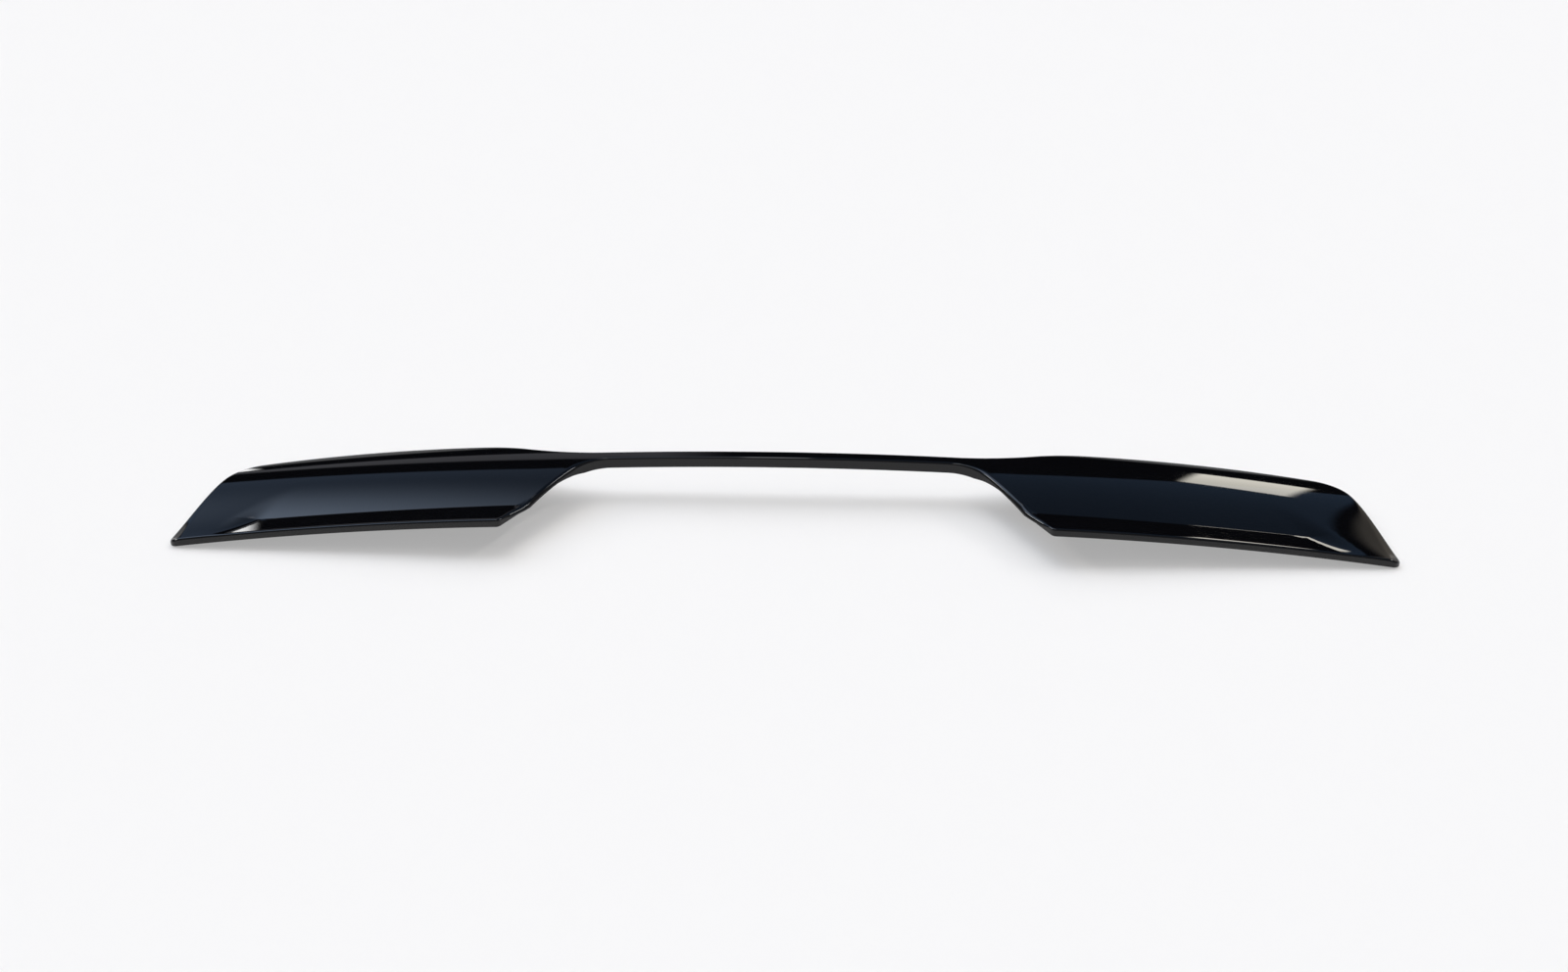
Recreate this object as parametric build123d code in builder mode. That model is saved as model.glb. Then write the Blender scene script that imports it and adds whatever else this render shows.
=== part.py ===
"""Add-on roof spoiler: one moulded shell, two wings joined by a slim bridge across the front."""
import os
from math import asin, cos, degrees, radians, sin, sqrt, tan

from build123d import *

os.makedirs("parts", exist_ok=True)

# X runs across the car, +Y to its front, +Z up; plan sizes are taken from the trailing edge and the middle
half_span = 612.0
crown_radius = 4700.0

# section through a wing, from the trailing edge forwards
lip_height = 8.2
lip_run = 31.9
lip_angle = 10.5
flick_radius = 8.0
panel_radius = 213.0
panel_angle = 15.8
nose_radius = 294.0
nose_angle = 13.5
base_angle = 1.1
skin = 3.0

# plan outline of the right half
bridge_front = 130.0
bridge_depth = 16.5
bridge_half = 183.0
sweep_radius = 238.0
sweep_angle = 21.0
shoulder_radius = 178.0
shoulder_angle = 17.0
end_rake = 25.0
front_corner_y = 144.0
front_corner_radius = 40.0
end_bow = 3.0
tip_setback = 2.0
tip_radius = 9.0
rear_bow = 2.5
notch_rear_half = 271.0
notch_front_half = 199.0
notch_tip_radius = 6.0
notch_root_radius = 45.0

# sloping facet that closes each end
facet_width = 12.5
facet_angle = 22.0
facet_toe_angle = 1.5

# arch that thins the side walls of the notch to an edge
arch_rear = 36.0
arch_front = 104.0
arch_rise = 5.6

# round along the top of the rim
edge_radius = 2.5

# how far the shaping solids run past the part: ahead of an edge, above and below, over an end
overrun = 10.0
clear_depth = 20.0
bar_reach = 40.0

rise = crown_radius - sqrt(crown_radius**2 - half_span**2)
base_slope = tan(radians(base_angle))
bridge_rear = bridge_front - bridge_depth
facet_x = half_span - facet_width
crown_axis = Axis((0, 0, rise - crown_radius), (0, 1, 0))


def crown_height(across):
    """Height of the crowned base line at a distance across the car."""
    return sqrt(crown_radius**2 - across**2) - crown_radius + rise


def section_plane(reach):
    """Plane through the crown axis that meets the base line at -reach across the car."""
    turn = asin(reach / crown_radius)
    return Plane(origin=(-reach, 0, crown_height(reach)), x_dir=(0, 1, 0), z_dir=(cos(turn), 0, sin(turn)))


def wing_section(drop, level, fall):
    """Face between the skin line lowered by drop and a straight line at level that falls to the front."""
    with BuildSketch() as face:
        with BuildLine():
            kick = tan(radians(lip_angle))
            edge = lip_height - drop
            lip = Line((-overrun, edge + overrun * kick), (lip_run, edge - lip_run * kick))
            flick = JernArc(lip @ 1, lip % 1, flick_radius, lip_angle + panel_angle)
            panel = JernArc(flick @ 1, flick % 1, panel_radius, -panel_angle)
            nose = JernArc(panel @ 1, panel % 1, nose_radius, -nose_angle)
            toe = (nose @ 1).X
            Polyline(nose @ 1, (toe, level - toe * fall), (-overrun, level + overrun * fall), lip @ 0)
        make_face()
    return face.sketch


def crowned(profile, reach):
    """Solid swept by a section along the crown, to reach on both sides."""
    with BuildPart() as blank:
        with BuildSketch(section_plane(reach)):
            add(profile)
        revolve(axis=crown_axis, revolution_arc=2 * degrees(asin(reach / crown_radius)))
    return blank.part


def plan_prism(inset):
    """Upright prism on the plan outline, held in from it by inset."""
    with BuildPart() as prism:
        with BuildSketch(Plane.XY.offset(-clear_depth)):
            with BuildLine():
                bridge = Line((0, bridge_front), (bridge_half, bridge_front))
                sweep = JernArc(bridge @ 1, bridge % 1, sweep_radius, sweep_angle)
                shoulder = JernArc(sweep @ 1, sweep % 1, shoulder_radius, -shoulder_angle)
                front = TangentArc(shoulder @ 1, (half_span - end_rake, front_corner_y), tangent=shoulder % 1)
                end = SagittaArc(front @ 1, (half_span, tip_setback), end_bow)
                rear = SagittaArc(end @ 1, (notch_rear_half, 0), -rear_bow)
                side = Line(rear @ 1, (notch_front_half, bridge_rear))
                Polyline(side @ 1, (0, bridge_rear), bridge @ 0)
            make_face()
            fillet(vertices().sort_by_distance(front @ 1)[0], front_corner_radius)
            fillet(vertices().sort_by_distance(end @ 1)[0], tip_radius)
            fillet(vertices().sort_by_distance(rear @ 1)[0], notch_tip_radius)
            fillet(vertices().sort_by_distance(side @ 1)[0], notch_root_radius)
            mirror(about=Plane.YZ)
            if inset:
                offset(amount=-inset, mode=Mode.REPLACE)
        extrude(amount=rise + lip_height + 2 * clear_depth)
    return prism.part


def end_bar():
    """Bar over the right end; its underside carries the skin line down the facet."""
    turn = radians(facet_toe_angle)
    fall = radians(facet_angle)
    down = Vector(cos(turn) * cos(fall), sin(turn) * cos(fall), -sin(fall))
    head = Vector(facet_x, 0, crown_height(facet_x)) - down * bar_reach
    with BuildPart() as bar:
        with BuildSketch(Plane(origin=head, x_dir=(-sin(turn), cos(turn), 0), z_dir=(cos(turn), sin(turn), 0))):
            add(wing_section(0, lip_height + bar_reach, 0))
        extrude(amount=2 * bar_reach, dir=down)
    return bar.part


def end_wall(side):
    """Inner face of one end, leaning out to the top of the rim under the facet."""
    turn = radians(facet_toe_angle)
    foot = (side * facet_x, 0, crown_height(facet_x))
    return Plane(origin=foot, z_dir=(side * cos(turn), sin(turn), 1))


def notch_arch():
    """Crowned bar with an arched top, which cuts the walls at both sides of the notch."""
    with BuildSketch() as arch:
        with BuildLine():
            heel = (arch_rear, -arch_rear * base_slope)
            toe = (arch_front, -arch_front * base_slope)
            middle = (arch_rear + arch_front) / 2
            ThreePointArc(heel, (middle, arch_rise - middle * base_slope), toe)
            Polyline(toe, (arch_front, -overrun), (arch_rear, -overrun), heel)
        make_face()
    return crowned(arch.sketch, notch_rear_half + overrun)


reach = half_span + overrun

with BuildPart() as body:
    add(crowned(wing_section(0, 0, base_slope), reach))
    add(plan_prism(0), mode=Mode.INTERSECT)
    skin_edges = faces().filter_by(lambda face: face.normal_at().Z > 0.5).edges()
    rim = skin_edges.filter_by(lambda edge: sum(edge.is_same(other) for other in skin_edges) == 1)
    fillet(rim, edge_radius)
    add(end_bar(), mode=Mode.SUBTRACT)
    mirror(end_bar(), about=Plane.YZ, mode=Mode.SUBTRACT)

with BuildPart() as hollow:
    add(crowned(wing_section(skin, -clear_depth, base_slope), reach))
    add(plan_prism(skin), mode=Mode.INTERSECT)
    for side in (1, -1):
        split(bisect_by=end_wall(side), keep=Keep.BOTTOM)

with BuildPart() as shell:
    add(body.part)
    add(hollow.part, mode=Mode.SUBTRACT)
    add(notch_arch(), mode=Mode.SUBTRACT)

box = shell.part.bounding_box()
with BuildPart() as spoiler_shell:
    with Locations((0, -box.center().Y, -box.min.Z)):
        add(shell.part)

spoiler_shell.part.label = "spoiler_shell"
export_step(spoiler_shell.part, "parts/spoiler_shell.step")
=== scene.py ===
"""Gloss-black roof spoiler: the moulded shell in its lacquer, on a pale studio floor."""

from math import cos, pi, radians, sin, tan

import bpy
import numpy as np
from bpy.props import FloatProperty, FloatVectorProperty, PointerProperty
from mathutils import Matrix, Vector


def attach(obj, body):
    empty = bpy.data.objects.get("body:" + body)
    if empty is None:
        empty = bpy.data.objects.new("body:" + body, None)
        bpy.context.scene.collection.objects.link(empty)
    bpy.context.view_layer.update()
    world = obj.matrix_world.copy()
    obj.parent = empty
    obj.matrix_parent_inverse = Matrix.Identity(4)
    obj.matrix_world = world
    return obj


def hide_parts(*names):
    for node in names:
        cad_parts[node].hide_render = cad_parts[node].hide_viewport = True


bl_info = {
    "name": "Roof spoiler",
    "version": (1, 0, 0),
    "blender": (4, 5, 0),
    "location": "View3D > Sidebar > Spoiler",
    "description": "Builds the gloss-black roof spoiler and its studio",
    "category": "Object",
}

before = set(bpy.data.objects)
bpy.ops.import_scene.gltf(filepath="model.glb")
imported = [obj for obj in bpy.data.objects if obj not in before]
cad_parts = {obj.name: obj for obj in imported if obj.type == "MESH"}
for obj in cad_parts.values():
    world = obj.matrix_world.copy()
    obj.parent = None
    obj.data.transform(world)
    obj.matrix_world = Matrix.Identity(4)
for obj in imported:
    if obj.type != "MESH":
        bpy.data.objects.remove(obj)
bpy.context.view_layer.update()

# gaps between the columns of the shell's net, in metres: as a rule, near the bridge's ends, at the corners
WIDE_COLUMN, ROOT_COLUMN, FINE_COLUMN = 0.0046, 0.0026, 0.0011
ROOT_X, ROOT_REACH = 0.190, 0.030
CORNER_REACH, TIP_REACH = 0.014, 0.034

# rows of the net, as shares of the way from rear to front; one row lies in the lip's crease
REAR_ROW, FRONT_ROW, CREASE_ROW = 0.0150, 0.0210, 0.0050
REAR_SHARE = 0.32
CREASE_SHARE, CREASE_REACH = 0.21, 0.025
CREASE_LEAST, CREASE_MOST, CREASE_EASE = 0.06, 0.5, 0.05

# where the net starts to lean towards the end of a wing, and to bend to its line
LEAN_START, BEND_START = 0.43, 0.52

# slant of the line along which the lip runs out near a tip
RUN_OUT_SLANT = 0.75

# how the rim's round grows along the notch side, and shrinks on the low rim of an end
SIDE_START, SIDE_GROWTH, SIDE_FADE = 0.004, 0.012, 0.020
END_ROUND_SHARE, END_ROUND_LEAST = 0.6, 0.0005
TIP_COLUMNS = 12  # columns over which the two rounds meet at a tip

RIM_STEPS = 8  # steps of the rim's round
RING_OFFSET = (0.0, 0.0, -0.001)  # parts a new ring from the last one until its points are set
SAME_POINT = 1e-7  # points of a plan line closer than this are doubled
WELD = 0.00005  # points of the mesh closer than this become one
SMOOTH_ANGLE = radians(24.0)  # edges sharper than this stay sharp


def length(name, description, metres):
    """A length property, in metres."""
    return FloatProperty(
        name=name, description=description, default=metres, min=0.0, unit="LENGTH", precision=4
    )


def angle(name, description, degrees):
    """An angle property, given in degrees."""
    return FloatProperty(name=name, description=description, default=radians(degrees), unit="ROTATION")


def colour(name, description, red, green, blue):
    """A colour property, linear."""
    return FloatVectorProperty(
        name=name, description=description, default=(red, green, blue), size=3, subtype="COLOR", min=0.0
    )


class SpoilerShape(bpy.types.PropertyGroup):
    """Sizes of the moulded shell; plan sizes run from the trailing edge and the middle of the car."""

    half_span: length("Half span", "From the middle to a tip", 0.612)
    crown_radius: length("Crown radius", "Curve of the base across the car", 4.7)
    lip_height: length("Lip height", "Trailing edge above the base", 0.0085)
    lip_run: length("Lip run", "Flat part of the lip", 0.0365)
    lip_angle: angle("Lip angle", "How far the lip kicks up", 9.1)
    flick_radius: length("Flick radius", "Tiny hollow in the lip's crease", 0.00002)
    panel_radius: length("Panel radius", "Arch of the main panel up to its crest", 0.213)
    panel_angle: angle("Panel angle", "Climb of the panel from the lip", 15.55)
    nose_radius: length("Nose radius", "Arch from the crest to the leading edge", 0.294)
    lip_fade: length("Lip fade", "Length over which the lip runs out near a tip", 0.030)
    lip_end: length("Lip end", "End of the lip, short of the tip", 0.030)
    tip_angle: angle("Tip angle", "What is left of the lip's kick at a tip", 5.0)
    base_angle: angle("Base angle", "Fall of the base towards the front", 1.1)
    skin: length("Skin", "Wall thickness", 0.003)
    bridge_front: length("Bridge front", "Front of the bridge ahead of the trailing edge", 0.130)
    bridge_depth: length("Bridge depth", "Front to back of the bridge", 0.0165)
    bridge_half: length("Bridge half", "Half the straight front of the bridge", 0.183)
    sweep_radius: length("Sweep radius", "Hollow curve from the bridge to the shoulder", 0.238)
    sweep_angle: angle("Sweep angle", "Turn of the hollow curve", 21.0)
    shoulder_radius: length("Shoulder radius", "Round of the shoulder", 0.178)
    shoulder_angle: angle("Shoulder angle", "Turn of the shoulder", 17.0)
    end_rake: length("End rake", "How far the end leans in to its front corner", 0.025)
    front_corner_y: length("Front corner", "Front corner ahead of the trailing edge", 0.144)
    front_corner_radius: length("Front corner radius", "Round of the front corner", 0.040)
    end_bow: length("End bow", "Bow of the end", 0.003)
    tip_setback: length("Tip setback", "Tip ahead of the notch corners", 0.002)
    tip_radius: length("Tip radius", "Round of the tip", 0.009)
    rear_bow: length("Rear bow", "Hollow of the trailing edge", 0.0025)
    notch_rear_half: length("Notch rear half", "Half the notch at the trailing edge", 0.271)
    notch_front_half: length("Notch front half", "Half the notch at the bridge", 0.199)
    notch_tip_radius: length("Notch tip radius", "Round of the rear corner of the notch", 0.006)
    notch_root_radius: length("Notch root radius", "Round where the notch meets the bridge", 0.045)
    facet_width: length("Facet width", "Sloping facet at a tip", 0.0125)
    facet_angle: angle("Facet angle", "Slope of the end facet", 22.0)
    facet_toe_angle: angle("Facet toe", "Lean of the facet's edge in plan", 1.5)
    facet_foot: length("Facet foot", "Least height of the rim under the facet", 0.0014)
    facet_soft: length("Facet softness", "Rounding of the facet's edge", 0.0003)
    arch_rear: length("Arch rear", "Rear of the arch under the notch side", 0.036)
    arch_front: length("Arch front", "Front of the arch under the notch side", 0.104)
    arch_rise: length("Arch rise", "Height of the arch under the notch side", 0.0056)
    edge_radius: length("Edge radius", "Round of the rim", 0.0025)
    notch_edge_radius: length("Notch edge radius", "Round of the rim along the notch", 0.0048)
    foot_chamfer: length("Foot chamfer", "Small chamfer at the foot of the rim", 0.0004)


class SpoilerFinish(bpy.types.PropertyGroup):
    """Colours of the shell."""

    lacquer: colour("Lacquer", "Deep gloss black", 0.0022, 0.0022, 0.0027)
    raw_plastic: colour("Raw plastic", "Unpainted underside", 0.020, 0.020, 0.021)


class SpoilerStage(bpy.types.PropertyGroup):
    """Floor, lamp and camera."""

    floor: colour("Floor", "Pale floor", 0.867, 0.822, 0.772)
    floor_glow: FloatProperty(
        name="Floor glow", description="Share of plain white in the floor", default=0.36, subtype="FACTOR"
    )
    lamp_strength: FloatProperty(
        name="Lamp strength", description="Strength of the ceiling light", default=1.65
    )
    lamp_spread: angle("Lamp spread", "Softness of the ceiling light", 62.0)
    lamp_tilt: angle("Lamp tilt", "Lean of the ceiling light from behind", -32.0)
    azimuth: angle("Azimuth", "Camera swing to the right", 2.8048)
    elevation: angle("Elevation", "Camera above the horizon", 31.3041)
    roll: angle("Roll", "Camera roll", -0.5715)
    distance: length("Distance", "Camera from its target", 1.5)
    lens: FloatProperty(name="Lens", description="Focal length in millimetres", default=33.84, unit="CAMERA")
    target: FloatVectorProperty(
        name="Target", description="Point the camera looks at", default=(0.0070, -0.00523, 0.0395), size=3,
        subtype="TRANSLATION", precision=4,
    )


class SpoilerRoom(bpy.types.PropertyGroup):
    """Light of the room that the lacquer mirrors."""

    upper: colour("Upper room", "Blue upper part of the room", 0.090, 0.150, 0.250)
    upper_left: colour("Upper left", "Added to the upper room on its left half", 0.065, 0.070, 0.085)
    glow: colour("Glow", "Bright sky high on the left", 1.67, 2.06, 2.70)
    wall_left: colour("Left wall", "Grey left part of the wall ahead", 0.270, 0.272, 0.300)
    window: colour("Window", "Window on the right", 4.6, 4.4, 3.9)
    low_window: colour("Low window", "Small window on the left", 5.0, 5.0, 5.0)
    warm_panel: colour("Warm panel", "Brown panel beside the window", 0.40, 0.36, 0.31)
    right_lamp: colour("Right lamp", "Lamp far out on the right", 20.0, 20.0, 20.0)
    left_lamp: colour("Left lamp", "Lamp far out on the left", 16.0, 16.0, 16.0)
    ceiling: colour("Ceiling", "Soft light over the left half", 1.1, 1.1, 1.1)
    tube: colour("Tube", "Narrow light at the edge of the ceiling", 3.0, 3.0, 3.0)
    horizon: colour("Horizon", "Pale band all round", 0.36, 0.36, 0.37)
    behind: colour("Behind", "Plain room behind the camera", 0.22, 0.23, 0.25)


def arc(start, heading, radius, turn, count=400):
    """Points and last heading of an arc that leaves start along heading; a positive turn is to the left."""
    side = 1.0 if turn > 0 else -1.0
    centre = start + side * radius * np.array([-sin(heading), cos(heading)])
    swing = heading - side * pi / 2 + np.linspace(0.0, turn, count)
    points = centre + radius * np.column_stack([np.cos(swing), np.sin(swing)])
    return points, heading + turn


def bowed(start, stop, bow, count=1200):
    """Points of a shallow curve from start to stop that stands bow to the left of the straight line."""
    share = np.linspace(0.0, 1.0, count)[:, None]
    run = stop - start
    left = np.array([-run[1], run[0]]) / np.hypot(*run)
    return start + run * share + left * 4.0 * bow * share * (1.0 - share)


def right_normals(points):
    """Unit normals to the right of a line of points."""
    along = np.gradient(points, axis=0)
    along /= np.linalg.norm(along, axis=1)[:, None]
    return np.column_stack([along[:, 1], -along[:, 0]])


def rounded(first, second, radius, convex=True, count=121):
    """First line, corner arc and second line, with the corner between the two lines rounded to radius."""
    inward = radius if convex else -radius
    near_a = first + inward * right_normals(first)
    near_b = second + inward * right_normals(second)
    gap = np.linalg.norm(near_a[:, None, :] - near_b[None, :, :], axis=2)
    stop, begin = np.unravel_index(np.argmin(gap), gap.shape)
    centre = (near_a[stop] + near_b[begin]) / 2.0
    a = first[stop] - centre
    b = second[begin] - centre
    swing_a = np.arctan2(a[1], a[0])
    swing = (np.arctan2(b[1], b[0]) - swing_a + pi) % (2.0 * pi) - pi
    swings = swing_a + swing * np.linspace(0.0, 1.0, count)
    corner = centre + radius * np.column_stack([np.cos(swings), np.sin(swings)])
    return first[:stop], corner, second[begin + 1:]


def joined(*runs):
    """One line of points from several, without doubled points."""
    points = np.concatenate(runs)
    step = np.linalg.norm(np.diff(points, axis=0), axis=1)
    return points[np.concatenate([[True], step > SAME_POINT])]


def plan_lines(shape):
    """Front, end and rear lines of the right half, each with its points and inward normals."""
    front_start = np.array([shape.bridge_half, shape.bridge_front])
    sweep, heading = arc(front_start, 0.0, shape.sweep_radius, shape.sweep_angle)
    shoulder, heading = arc(sweep[-1], heading, shape.shoulder_radius, -shape.shoulder_angle)
    corner = np.array([shape.half_span - shape.end_rake, shape.front_corner_y])
    chord = corner - shoulder[-1]
    lift = heading - np.arctan2(chord[1], chord[0])
    leading = bowed(shoulder[-1], corner, np.hypot(*chord) / 2.0 * tan(lift / 2.0), count=1600)
    tip = np.array([shape.half_span, shape.tip_setback])
    end = bowed(corner, tip, shape.end_bow)
    notch_tip = np.array([shape.notch_rear_half, 0.0])
    trailing = bowed(tip, notch_tip, -shape.rear_bow, count=2000)
    bridge_rear = shape.bridge_front - shape.bridge_depth
    root = np.array([shape.notch_front_half, bridge_rear])
    side = bowed(notch_tip, root, 0.0, count=900)
    back = bowed(root, np.array([0.0, bridge_rear]), 0.0, count=900)
    bridge = bowed(np.array([0.0, shape.bridge_front]), front_start, 0.0, count=300)

    leading, front_round, end = rounded(leading, end, shape.front_corner_radius)
    end, tip_round, trailing = rounded(end, trailing, shape.tip_radius)
    trailing, notch_round, side = rounded(trailing, side, shape.notch_tip_radius)
    side, root_round, back = rounded(side, back, shape.notch_root_radius, convex=False)

    middle = len(front_round) // 2
    front = joined(bridge, sweep, shoulder, leading, front_round[: middle + 1])
    ending = joined(front_round[middle:], end, tip_round[: middle + 1])
    rear = joined(tip_round[middle:], trailing, notch_round, side, root_round, back)
    return [(points, right_normals(points)) for points in (front, ending, rear)]


def spaced(start, stop, spacing, samples=20001):
    """Stations from start to stop whose distance apart follows spacing."""
    fine = np.linspace(start, stop, samples)
    count = np.concatenate([[0.0], np.cumsum(1.0 / spacing((fine[1:] + fine[:-1]) / 2.0) * np.diff(fine))])
    return np.interp(np.linspace(0.0, count[-1], int(np.ceil(count[-1])) + 1), count, fine)


def eased(value):
    """Smooth step from 0 to 1."""
    held = np.clip(value, 0.0, 1.0)
    return held * held * (3.0 - 2.0 * held)


def section_height(shape, x, y):
    """Height of the wing's skin line above its base at a plan point; the lip runs out near the tips."""
    kick = tan(shape.lip_angle)
    climb = shape.panel_angle
    lip = shape.lip_height - y * kick
    flick_start = np.array([shape.lip_run, shape.lip_height - shape.lip_run * kick])
    flick_centre = flick_start + shape.flick_radius * np.array([sin(shape.lip_angle), cos(shape.lip_angle)])
    panel_start = flick_centre + shape.flick_radius * np.array([sin(climb), -cos(climb)])
    crest = panel_start + shape.panel_radius * np.array([sin(climb), 1.0 - cos(climb)])
    hollow = np.clip(y - flick_centre[0], -shape.flick_radius, shape.flick_radius)
    flick = flick_centre[1] - np.sqrt(shape.flick_radius**2 - hollow**2)
    bend = np.where(y < crest[0], shape.panel_radius, shape.nose_radius)
    panel = crest[1] - bend + np.sqrt(bend**2 - np.minimum(np.abs(y - crest[0]), bend) ** 2)
    full = np.where(y < flick_start[0], lip, np.where(y < panel_start[0], flick, panel))

    share = y / crest[0]
    sag = crest[0] * tan(shape.tip_angle) * share * (1.0 - share) ** 2
    swept = shape.lip_height + (crest[1] - shape.lip_height) * share**2 * (3.0 - 2.0 * share) - sag
    plain = np.where(y < crest[0], swept, panel)
    past = np.abs(x) + RUN_OUT_SLANT * y - (shape.half_span - shape.lip_end - shape.lip_fade)
    return full + (plain - full) * eased(past / shape.lip_fade)


def crowned(shape, across, above):
    """Height of a line that lies above the crowned base."""
    rise = shape.crown_radius - np.sqrt(shape.crown_radius**2 - shape.half_span**2)
    return np.sqrt((shape.crown_radius + above) ** 2 - across**2) - shape.crown_radius + rise


def facet_place(shape, x, y):
    """Where a plan point lies from the facet's upper edge: out of it, and along it."""
    past = np.abs(x) - (shape.half_span - shape.facet_width)
    toe = shape.facet_toe_angle
    return past * cos(toe) + y * sin(toe), y * cos(toe) - past * sin(toe)


def top_height(shape, x, y):
    """Height of the top skin, with the sloping facet at each end."""
    across = np.abs(x)
    skin = crowned(shape, across, section_height(shape, x, y))
    facet_x = shape.half_span - shape.facet_width
    out, along = facet_place(shape, x, y)
    edge = crowned(shape, facet_x, 0.0) + section_height(shape, facet_x, along)
    facet = edge - out * tan(shape.facet_angle)
    gap = skin - facet
    lowered = (skin + facet - np.sqrt(gap * gap + shape.facet_soft**2)) / 2.0
    least = base_height(shape, x, y) + shape.facet_foot
    return np.where(across > facet_x - shape.facet_width, np.maximum(lowered, least), lowered)


def base_height(shape, x, y):
    """Height of the foot of the rim, raised by the arch under the sides of the notch."""
    foot = crowned(shape, x, -y * tan(shape.base_angle))
    middle = (shape.arch_rear + shape.arch_front) / 2.0
    half = (shape.arch_front - shape.arch_rear) / 2.0
    arch = shape.arch_rise * np.clip(1.0 - ((y - middle) / half) ** 2, 0.0, None)
    return foot + np.where(np.abs(x) < shape.notch_rear_half + shape.skin, arch, 0.0)


def ceiling_height(shape, x, y):
    """Height of the inside of the skin, closed by a leaning wall at each end."""
    out, _ = facet_place(shape, x, y)
    wall = crowned(shape, shape.half_span - shape.facet_width, 0.0) - out
    inside = np.minimum(crowned(shape, x, section_height(shape, x, y) - shape.skin), wall)
    return np.maximum(inside, crowned(shape, x, -y * tan(shape.base_angle)))


class ShellPlan:
    """The plan of the shell as a net of columns across the car and rows from rear to front."""

    def __init__(self, shape):
        self.shape = shape
        (front, front_in), (end, end_in), (rear, rear_in) = plan_lines(shape)
        rear, rear_in = rear[::-1], rear_in[::-1]
        end, end_in = end[::-1], end_in[::-1]
        reach = rear[-1, 0]

        def column_gap(x):
            gap = np.where(np.abs(x - ROOT_X) < ROOT_REACH, ROOT_COLUMN, WIDE_COLUMN)
            at_corner = (np.abs(x - shape.notch_rear_half) < CORNER_REACH) | (x > reach - TIP_REACH)
            return np.where(at_corner, FINE_COLUMN, gap)

        def row_gap(share):
            gap = np.where(share < REAR_SHARE, REAR_ROW, FRONT_ROW)
            return np.where(np.abs(share - CREASE_SHARE) < CREASE_REACH, CREASE_ROW, gap)

        across = spaced(0.0, reach, column_gap)
        lean = eased((across - LEAN_START) / (reach - LEAN_START))
        across_front = across - (reach - front[-1, 0]) * lean
        behind_crease = spaced(0.0, CREASE_SHARE, row_gap)
        self.rows = np.concatenate([behind_crease, spaced(CREASE_SHARE, 1.0, row_gap)[1:]])
        self.columns = len(across) - 1
        self.bend = eased((across - BEND_START) / (reach - BEND_START))
        self.rear = self.along(rear, rear_in, rear[:, 0], across)
        self.front = self.along(front, front_in, front[:, 0], across_front)
        walk = np.concatenate([[0.0], np.cumsum(np.linalg.norm(np.diff(end, axis=0), axis=1))])
        self.end = self.along(end, end_in, walk / walk[-1], self.rows)

        side = np.clip((rear[:, 1] - SIDE_START) / SIDE_GROWTH, 0.0, 1.0) * (rear[:, 0] < shape.notch_rear_half)
        side *= np.clip((shape.bridge_front - shape.bridge_depth - rear[:, 1]) / SIDE_FADE, 0.0, 1.0)
        round_rear = shape.edge_radius + (shape.notch_edge_radius - shape.edge_radius) * eased(side)
        self.rear_round = np.interp(across, rear[:, 0], round_rear)
        place = self.end[0].T
        wall = top_height(shape, *place) - base_height(shape, *place)
        self.end_round = np.clip(END_ROUND_SHARE * wall, END_ROUND_LEAST, shape.edge_radius)
        self.end_round[0] = min(self.end_round[0], self.rear_round[-1])
        tip_rounds = np.linspace(self.rear_round[-TIP_COLUMNS], self.end_round[0], TIP_COLUMNS)
        self.rear_round[-TIP_COLUMNS:] = tip_rounds

    @staticmethod
    def along(points, inward, measure, stations):
        """Points and inward normals of a line at the given stations of its measure."""
        placed = np.column_stack([np.interp(stations, measure, points[:, k]) for k in (0, 1)])
        normals = np.column_stack([np.interp(stations, measure, inward[:, k]) for k in (0, 1)])
        return placed, normals / np.linalg.norm(normals, axis=1)[:, None]

    def border(self, column, row):
        """Plan point, inward normal and rim round of a border place of the net."""
        index = abs(column)
        if index == self.columns:
            point, inward, size = self.end[0][row], self.end[1][row], self.end_round[row]
        elif row == 0:
            point, inward, size = self.rear[0][index], self.rear[1][index], self.rear_round[index]
        else:
            point, inward, size = self.front[0][index], self.front[1][index], self.shape.edge_radius
        mirror = np.array([-1.0 if column < 0 else 1.0, 1.0])
        return point * mirror, inward * mirror, size

    def shares(self, rear, front):
        """Shares of the rows in each column, warped so that the crease's row lies in the crease of a wing."""
        shape = self.shape
        crease = shape.lip_run + shape.flick_radius * (sin(shape.lip_angle) + sin(shape.panel_angle)) / 2.0
        met = np.clip((crease - rear[:, 1]) / (front[:, 1] - rear[:, 1]), CREASE_LEAST, CREASE_MOST)
        past = CREASE_LEAST + (CREASE_SHARE - CREASE_LEAST) * eased((rear[:, 1] - crease) / CREASE_EASE)
        places = np.where(rear[:, 1] < crease, met, past)
        return np.array([np.interp(self.rows, (0.0, CREASE_SHARE, 1.0), (0.0, place, 1.0)) for place in places])

    def net(self, inset):
        """Plan points of the whole net, held in from the outline; an inset of None takes the rim's round."""
        round_rear = self.rear_round if inset is None else np.full(self.columns + 1, inset)
        round_front = self.shape.edge_radius if inset is None else inset
        round_end = self.end_round if inset is None else np.full(len(self.rows), inset)
        rear = self.rear[0] + self.rear[1] * round_rear[:, None]
        front = self.front[0] + self.front[1] * round_front
        end = self.end[0] + self.end[1] * round_end[:, None]
        share = self.shares(rear, front)[..., None]
        flat = rear[:, None, :] * (1.0 - share) + front[:, None, :] * share
        half = flat + self.bend[:, None, None] * (end[None, :, :] - flat[-1:, :, :])
        left = half[:0:-1] * np.array([-1.0, 1.0])
        return np.concatenate([left, half])


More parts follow.
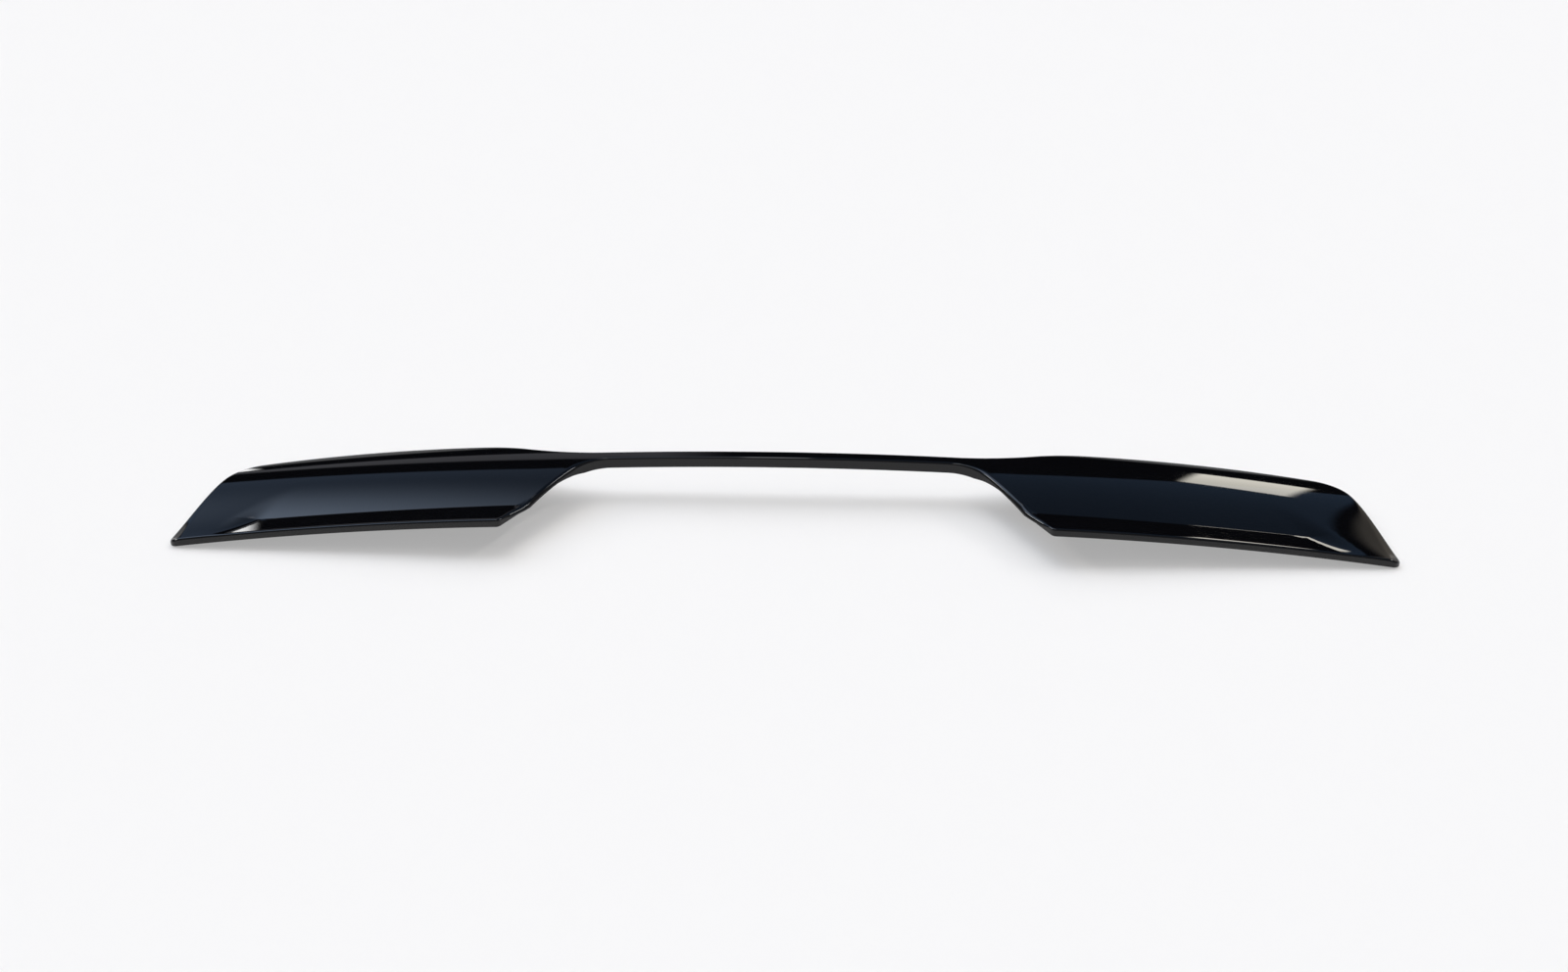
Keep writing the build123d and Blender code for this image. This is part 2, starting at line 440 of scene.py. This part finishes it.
def grid_piece(name, plan, points, heights, materials):
    """A grid primitive whose vertices are set on the net's points; also each vertex's place in the net."""
    wide = 2 * plan.columns
    deep = len(plan.rows) - 1
    bpy.ops.object.select_all(action="DESELECT")
    bpy.ops.mesh.primitive_grid_add(x_subdivisions=wide, y_subdivisions=deep, size=1.0)
    piece = bpy.context.object
    piece.name = name
    mesh = piece.data
    mesh.name = name
    flat = np.zeros(len(mesh.vertices) * 3, np.float32)
    mesh.vertices.foreach_get("co", flat)
    flat = flat.reshape(-1, 3)
    column = np.rint((flat[:, 0] + 0.5) * wide).astype(int)
    row = np.rint((flat[:, 1] + 0.5) * deep).astype(int)
    placed = np.column_stack([points[column, row], heights[column, row]])
    mesh.vertices.foreach_set("co", placed.astype(np.float32).ravel())
    mesh.update()
    for material in materials:
        mesh.materials.append(material)
    return piece, column - plan.columns, row


def extrude_border(piece, owners, place):
    """Extrudes the selected border of a piece; place turns a place in the net into the new vertex's point."""
    bpy.ops.object.mode_set(mode="EDIT")
    bpy.ops.mesh.extrude_region_move(TRANSFORM_OT_translate={"value": RING_OFFSET})
    bpy.ops.object.mode_set(mode="OBJECT")
    mesh = piece.data
    fresh = {}
    for edge in mesh.edges:
        one, other = edge.vertices
        if one in owners and other not in owners and mesh.vertices[other].select:
            fresh[other] = owners[one]
        elif other in owners and one not in owners and mesh.vertices[one].select:
            fresh[one] = owners[other]
    if len(fresh) != len(owners):
        raise RuntimeError("the border of the shell did not extrude as one ring")
    for index, place_in_net in fresh.items():
        mesh.vertices[index].co = place(*place_in_net)
    mesh.update()
    return fresh


class OBJECT_OT_spoiler_shell(bpy.types.Operator):
    """Models the moulded shell of the spoiler and gives it its lacquer"""

    bl_idname = "object.spoiler_shell"
    bl_label = "Spoiler Shell"
    bl_options = {"REGISTER", "UNDO"}

    def execute(self, context):
        shape = context.scene.spoiler_shape
        finish = context.scene.spoiler_finish
        plan = ShellPlan(shape)
        materials = (lacquer_material(finish.lacquer), raw_plastic_material(finish.raw_plastic))
        shell = self.skin(shape, plan, materials)
        self.weld(context, shell, self.lining(shape, plan, materials))
        self.settle(shell)
        bpy.ops.object.shade_smooth_by_angle(angle=SMOOTH_ANGLE)

        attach(shell, "root")
        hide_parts("spoiler_shell")
        return {"FINISHED"}

    @staticmethod
    def skin(shape, plan, materials):
        """The top skin with its rim: round, wall, foot, underside and inner wall, one ring after the other."""
        points = plan.net(None)
        top = top_height(shape, points[..., 0], points[..., 1])
        shell, column, row = grid_piece("spoiler_body", plan, points, top, materials)
        on_border = (np.abs(column) == plan.columns) | (row == 0) | (row == len(plan.rows) - 1)
        owners = {int(k): (int(column[k]), int(row[k])) for k in np.flatnonzero(on_border)}
        bpy.ops.object.mode_set(mode="EDIT")
        bpy.ops.mesh.select_mode(type="EDGE")
        bpy.ops.mesh.select_all(action="SELECT")
        bpy.ops.mesh.region_to_loop()
        bpy.ops.object.mode_set(mode="OBJECT")

        def rim(swing):
            def place(column, row):
                point, inward, size = plan.border(column, row)
                spot = point + inward * size * (1.0 - sin(swing))
                return (*spot, float(top_height(shape, *spot)) - size * (1.0 - cos(swing)))
            return place

        def foot(inset, lift):
            def place(column, row):
                point, inward, _ = plan.border(column, row)
                spot = point + inward * inset
                return (*spot, float(base_height(shape, *spot)) + lift)
            return place

        def ceiling(column, row):
            point, inward, _ = plan.border(column, row)
            spot = point + inward * shape.skin
            return (*spot, max(float(ceiling_height(shape, *spot)), float(base_height(shape, *spot))))

        for step in range(1, RIM_STEPS + 1):
            owners = extrude_border(shell, owners, rim(step / RIM_STEPS * pi / 2.0))
        owners = extrude_border(shell, owners, foot(0.0, shape.foot_chamfer))
        owners = extrude_border(shell, owners, foot(shape.foot_chamfer, 0.0))
        inside = set(owners)
        for place in (foot(shape.skin, 0.0), ceiling):
            owners = extrude_border(shell, owners, place)
            inside |= set(owners)
        for polygon in shell.data.polygons:
            polygon.material_index = int(inside.issuperset(polygon.vertices))
        return shell

    @staticmethod
    def lining(shape, plan, materials):
        """The inside of the skin, whose border lies on the top of the inner wall."""
        points = plan.net(shape.skin)
        under = ceiling_height(shape, points[..., 0], points[..., 1])
        foot_line = base_height(shape, points[..., 0], points[..., 1])
        border = np.ones(under.shape, bool)
        border[1:-1, 1:-1] = False
        under = np.where(border, np.maximum(under, foot_line), under)
        lining, _, _ = grid_piece("spoiler_lining", plan, points, under, materials)
        for polygon in lining.data.polygons:
            polygon.material_index = 1
        return lining

    @staticmethod
    def weld(context, shell, lining):
        """Joins the lining to the shell and closes the line between them."""
        bpy.ops.object.select_all(action="DESELECT")
        lining.select_set(True)
        shell.select_set(True)
        context.view_layer.objects.active = shell
        bpy.ops.object.join()
        bpy.ops.object.mode_set(mode="EDIT")
        bpy.ops.mesh.select_all(action="SELECT")
        bpy.ops.mesh.remove_doubles(threshold=WELD)
        bpy.ops.mesh.delete_loose()
        bpy.ops.mesh.select_all(action="SELECT")
        bpy.ops.mesh.normals_make_consistent(inside=False)
        bpy.ops.mesh.select_all(action="DESELECT")
        bpy.ops.object.mode_set(mode="OBJECT")

    @staticmethod
    def settle(shell):
        """Moves the mesh to the frame's place: middle of its depth at 0, lowest point on the floor."""
        spots = np.zeros(len(shell.data.vertices) * 3)
        shell.data.vertices.foreach_get("co", spots)
        spots = spots.reshape(-1, 3)
        middle = (spots[:, 1].min() + spots[:, 1].max()) / 2.0
        shell.data.transform(Matrix.Translation((0.0, -middle, -spots[:, 2].min())))


def new_material(name):
    """A node material with its nodes, links and shader."""
    material = bpy.data.materials.new(name)
    material.use_nodes = True
    nodes = material.node_tree.nodes
    return material, nodes, material.node_tree.links, nodes["Principled BSDF"]


def object_place(nodes):
    """Object coordinates."""
    return nodes.new("ShaderNodeTexCoord").outputs["Object"]


def noise(nodes, links, where, scale, detail, roughness=0.5):
    """A noise texture's value."""
    texture = nodes.new("ShaderNodeTexNoise")
    texture.inputs["Scale"].default_value = scale
    texture.inputs["Detail"].default_value = detail
    texture.inputs["Roughness"].default_value = roughness
    links.new(where, texture.inputs["Vector"])
    return texture.outputs["Fac"]


def ranged(nodes, links, value, low, high, to_low, to_high):
    """A value carried from one range to another."""
    node = nodes.new("ShaderNodeMapRange")
    for key, number in (("From Min", low), ("From Max", high), ("To Min", to_low), ("To Max", to_high)):
        node.inputs[key].default_value = number
    links.new(value, node.inputs["Value"])
    return node.outputs["Result"]


def uneven(nodes, links, value, tint, low, high):
    """A colour that wanders with a value between two strengths of a tint."""
    node = nodes.new("ShaderNodeMix")
    node.data_type = "RGBA"
    for key, strength in (("A", low), ("B", high)):
        node.inputs[key].default_value = (*[channel * strength for channel in tint], 1.0)
    links.new(value, node.inputs["Factor"])
    return node.outputs["Result"]


def bumped(nodes, links, value, strength, distance):
    """A normal raised by a value."""
    node = nodes.new("ShaderNodeBump")
    node.inputs["Strength"].default_value = strength
    node.inputs["Distance"].default_value = distance
    links.new(value, node.inputs["Height"])
    return node.outputs["Normal"]


def lacquer_material(tint):
    """Deep black lacquer: mirror-like, with a faint orange peel and a slightly uneven base coat."""
    material, nodes, links, shader = new_material("piano_black_lacquer")
    where = object_place(nodes)
    cloud = noise(nodes, links, where, scale=14.0, detail=3.0)
    polish = noise(nodes, links, where, scale=55.0, detail=4.0)
    peel = noise(nodes, links, where, scale=420.0, detail=2.0)
    coat = uneven(nodes, links, cloud, tint, low=0.8, high=1.3)
    gloss = ranged(nodes, links, polish, low=0.35, high=0.7, to_low=0.02, to_high=0.05)
    links.new(coat, shader.inputs["Base Color"])
    links.new(gloss, shader.inputs["Roughness"])
    links.new(bumped(nodes, links, peel, strength=0.05, distance=0.00006), shader.inputs["Normal"])
    shader.inputs["IOR"].default_value = 1.42
    return material


def raw_plastic_material(tint):
    """Unpainted moulded plastic of the underside: fine matt grain."""
    material, nodes, links, shader = new_material("raw_black_moulding")
    where = object_place(nodes)
    grain = noise(nodes, links, where, scale=900.0, detail=3.0, roughness=0.6)
    flow = noise(nodes, links, where, scale=9.0, detail=4.0)
    plastic = uneven(nodes, links, flow, tint, low=0.75, high=1.4)
    matt = ranged(nodes, links, flow, low=0.3, high=0.7, to_low=0.48, to_high=0.62)
    links.new(plastic, shader.inputs["Base Color"])
    links.new(matt, shader.inputs["Roughness"])
    links.new(bumped(nodes, links, grain, strength=0.35, distance=0.0002), shader.inputs["Normal"])
    return material


def floor_material(tint, glow):
    """Pale matt floor; eye and mirror see part of it as plain white, and it keeps the shadow."""
    material, nodes, links, shader = new_material("pale_floor")
    mottle = noise(nodes, links, object_place(nodes), scale=3.0, detail=3.0)
    links.new(uneven(nodes, links, mottle, tint, low=0.995, high=1.0), shader.inputs["Base Color"])
    shader.inputs["Roughness"].default_value = 1.0
    shader.inputs["Specular IOR Level"].default_value = 0.0

    def maths(operation, one, other):
        node = nodes.new("ShaderNodeMath")
        node.operation = operation
        links.new(one, node.inputs[0])
        if isinstance(other, float):
            node.inputs[1].default_value = other
        else:
            links.new(other, node.inputs[1])
        return node.outputs["Value"]

    seen = nodes.new("ShaderNodeLightPath").outputs
    mirrored = maths("MAXIMUM", seen["Is Glossy Ray"], seen["Is Transmission Ray"])
    rays = maths("MAXIMUM", seen["Is Camera Ray"], mirrored)
    white = nodes.new("ShaderNodeEmission")
    mix = nodes.new("ShaderNodeMixShader")
    links.new(maths("MULTIPLY", rays, glow), mix.inputs["Fac"])
    links.new(shader.outputs["BSDF"], mix.inputs[1])
    links.new(white.outputs["Emission"], mix.inputs[2])
    links.new(mix.outputs["Shader"], nodes["Material Output"].inputs["Surface"])
    return material


class SkyNodes:
    """Small helpers that write a world's light as a function of the direction looked in."""

    def __init__(self, tree):
        self.nodes = tree.nodes
        self.links = tree.links

    def feed(self, socket, value):
        """Links an output to a socket, or sets the socket to a number or a colour."""
        if isinstance(value, bpy.types.NodeSocket):
            self.links.new(value, socket)
        else:
            socket.default_value = value

    def direction(self):
        """Across, ahead and up parts of the direction."""
        split = self.nodes.new("ShaderNodeSeparateXYZ")
        self.links.new(self.nodes.new("ShaderNodeTexCoord").outputs["Generated"], split.inputs["Vector"])
        return split.outputs["X"], split.outputs["Y"], split.outputs["Z"]

    def math(self, operation, one, other):
        node = self.nodes.new("ShaderNodeMath")
        node.operation = operation
        self.feed(node.inputs[0], one)
        self.feed(node.inputs[1], other)
        return node.outputs["Value"]

    def times(self, one, other):
        return self.math("MULTIPLY", one, other)

    def leaning(self, up, across, slope):
        """Height above a line that climbs with slope to the right."""
        return self.math("SUBTRACT", up, self.times(across, slope))

    def ramp(self, value, start, stop, kind="LINEAR"):
        """0 at start, 1 at stop, held outside."""
        node = self.nodes.new("ShaderNodeMapRange")
        node.interpolation_type = kind
        node.inputs["From Min"].default_value = start
        node.inputs["From Max"].default_value = stop
        self.feed(node.inputs["Value"], value)
        return node.outputs["Result"]

    def step(self, value, start, stop):
        return self.ramp(value, start, stop, "SMOOTHSTEP")

    def patch(self, across, up, wide, tall, soft=0.012):
        """Soft-edged rectangle in the direction's across and up parts."""
        inside = self.step(across, wide[0], wide[0] + soft)
        for value, start, stop in (
            (across, wide[1], wide[1] - soft), (up, tall[0], tall[0] + soft), (up, tall[1], tall[1] - soft)
        ):
            inside = self.times(inside, self.step(value, start, stop))
        return inside

    def tint(self, shade, value):
        """A colour times a value."""
        node = self.nodes.new("ShaderNodeVectorMath")
        node.operation = "SCALE"
        self.feed(node.inputs[0], shade)
        self.feed(node.inputs["Scale"], value)
        return node.outputs["Vector"]

    def total(self, *lights):
        """Sum of several lights, each a colour and the value it is scaled by."""
        whole = self.tint(*lights[0])
        for light in lights[1:]:
            node = self.nodes.new("ShaderNodeVectorMath")
            node.operation = "ADD"
            self.links.new(whole, node.inputs[0])
            self.links.new(self.tint(*light), node.inputs[1])
            whole = node.outputs["Vector"]
        return whole

    def finish(self, shade):
        background = self.nodes["Background"]
        self.links.new(shade, background.inputs["Color"])
        background.inputs["Strength"].default_value = 1.0


class SCENE_OT_spoiler_stage(bpy.types.Operator):
    """Lays the pale floor, sets the studio light and places the camera"""

    bl_idname = "scene.spoiler_stage"
    bl_label = "Spoiler Stage"
    bl_options = {"REGISTER", "UNDO"}

    def execute(self, context):
        stage = context.scene.spoiler_stage
        self.floor(stage)
        self.world(context.scene)
        self.lamp(stage)
        self.camera(context.scene, stage)
        context.scene.view_settings.view_transform = "Standard"
        return {"FINISHED"}

    @staticmethod
    def floor(stage):
        bpy.ops.object.select_all(action="DESELECT")
        bpy.ops.mesh.primitive_plane_add(size=30.0)
        floor = bpy.context.object
        floor.name = "studio_floor"
        floor.data.materials.append(floor_material(stage.floor, stage.floor_glow))

    @staticmethod
    def world(scene):
        room = scene.spoiler_room
        world = bpy.data.worlds.new("studio_world")
        scene.world = world
        world.use_nodes = True
        sky = SkyNodes(world.node_tree)
        across, ahead, up = sky.direction()
        front = sky.step(ahead, 0.0, 0.15)

        # a dark wall ahead, whose upper edge sinks to both sides, with the blue upper room above it
        to_right = sky.times(sky.math("MAXIMUM", across, 0.0), 0.25)
        height = sky.math("ADD", sky.math("ADD", up, sky.times(across, across)), to_right)
        dark_frame = sky.patch(across, up, wide=(0.425, 0.95), tall=(0.02, 0.545))
        upper = sky.times(sky.step(height, 0.536, 0.550), sky.step(across, -0.80, -0.68))
        upper = sky.times(upper, sky.math("SUBTRACT", 1.0, dark_frame))
        upper_left = sky.times(upper, sky.step(across, 0.05, -0.25))
        glow = sky.times(upper, sky.math("POWER", sky.ramp(sky.leaning(up, across, 1.1), 0.90, 1.30), 2.2))

        # the left side of the wall is a little lighter, down to a sloping edge
        wall = sky.times(sky.step(height, 0.425, 0.395), sky.step(sky.leaning(up, across, 0.36), 0.322, 0.340))
        wall_left = sky.times(wall, sky.step(across, -0.08, -0.16))

        # a window on the right with a warm panel beside it, a small low one on the left, a lamp on each side
        sill = sky.leaning(up, sky.math("SUBTRACT", across, 0.285), 0.30)
        window = sky.patch(across, sill, wide=(0.290, 0.390), tall=(0.205, 0.375))
        warm_panel = sky.patch(across, up, wide=(0.442, 0.92), tall=(0.06, 0.525), soft=0.015)
        low_window = sky.patch(across, up, wide=(-0.50, -0.446), tall=(0.105, 0.160))
        right_lamp = sky.patch(across, up, wide=(0.68, 0.74), tall=(0.56, 0.74))
        left_lamp = sky.patch(across, up, wide=(-0.83, -0.77), tall=(0.40, 0.60))
        ahead_light = sky.total(
            (room.upper, upper), (room.upper_left, upper_left), (room.glow, glow), (room.wall_left, wall_left),
            (room.window, window), (room.warm_panel, warm_panel), (room.low_window, low_window),
            (room.right_lamp, right_lamp), (room.left_lamp, left_lamp),
        )

        # soft ceiling lights over the left half, a pale band all round at the horizon
        ceiling = sky.patch(across, up, wide=(-0.55, -0.02), tall=(0.92, 1.1), soft=0.03)
        tube = sky.patch(across, up, wide=(-0.085, -0.01), tall=(0.92, 1.1), soft=0.01)
        horizon = sky.step(up, 0.115, 0.085)
        sky.finish(sky.total(
            (ahead_light, front), (room.ceiling, ceiling), (room.tube, tube), (room.horizon, horizon),
            (room.behind, sky.math("SUBTRACT", 1.0, front)),
        ))

    @staticmethod
    def lamp(stage):
        bpy.ops.object.select_all(action="DESELECT")
        bpy.ops.object.light_add(type="SUN", location=(0.0, 1.5, 3.0))
        lamp = bpy.context.object
        lamp.name = "ceiling_light"
        lamp.data.angle = stage.lamp_spread
        lamp.data.energy = stage.lamp_strength
        lamp.rotation_euler = (stage.lamp_tilt, 0.0, 0.0)
        lamp.visible_glossy = False

    @staticmethod
    def camera(scene, stage):
        azimuth, elevation, roll = stage.azimuth, stage.elevation, stage.roll
        back = Vector((sin(azimuth) * cos(elevation), -cos(azimuth) * cos(elevation), sin(elevation)))
        right = Vector((cos(azimuth), sin(azimuth), 0.0))
        up = back.cross(right)
        across = right * cos(roll) + up * sin(roll)
        above = up * cos(roll) - right * sin(roll)
        bpy.ops.object.camera_add(location=Vector(stage.target) + back * stage.distance)
        camera = bpy.context.object
        camera.name = "photo_camera"
        camera.rotation_euler = Matrix((across, above, back)).transposed().to_euler()
        camera.data.lens = stage.lens
        camera.data.sensor_width = 36.0
        camera.data.clip_start = 0.05
        camera.data.clip_end = 100.0
        scene.camera = camera


class VIEW3D_PT_spoiler(bpy.types.Panel):
    """Lists the steps that build the spoiler and the sizes that shape it"""

    bl_idname = "VIEW3D_PT_spoiler"
    bl_label = "Roof Spoiler"
    bl_space_type = "VIEW_3D"
    bl_region_type = "UI"
    bl_category = "Spoiler"

    def draw(self, context):
        layout = self.layout
        for step in (OBJECT_OT_spoiler_shell, SCENE_OT_spoiler_stage):
            layout.operator(step.bl_idname)
        for group_name in groups:
            group = getattr(context.scene, group_name)
            box = layout.box()
            for name in group.bl_rna.properties.keys():
                if name not in ("rna_type", "name"):
                    box.prop(group, name)


groups = {
    "spoiler_shape": SpoilerShape,
    "spoiler_finish": SpoilerFinish,
    "spoiler_stage": SpoilerStage,
    "spoiler_room": SpoilerRoom,
}
classes = (*groups.values(), OBJECT_OT_spoiler_shell, SCENE_OT_spoiler_stage, VIEW3D_PT_spoiler)


def register():
    for cls in classes:
        bpy.utils.register_class(cls)
    for name, group in groups.items():
        setattr(bpy.types.Scene, name, PointerProperty(type=group))


def unregister():
    for name in groups:
        delattr(bpy.types.Scene, name)
    for cls in reversed(classes):
        bpy.utils.unregister_class(cls)


def main():
    register()
    bpy.ops.object.spoiler_shell()
    bpy.ops.scene.spoiler_stage()


if __name__ == "__main__":
    main()
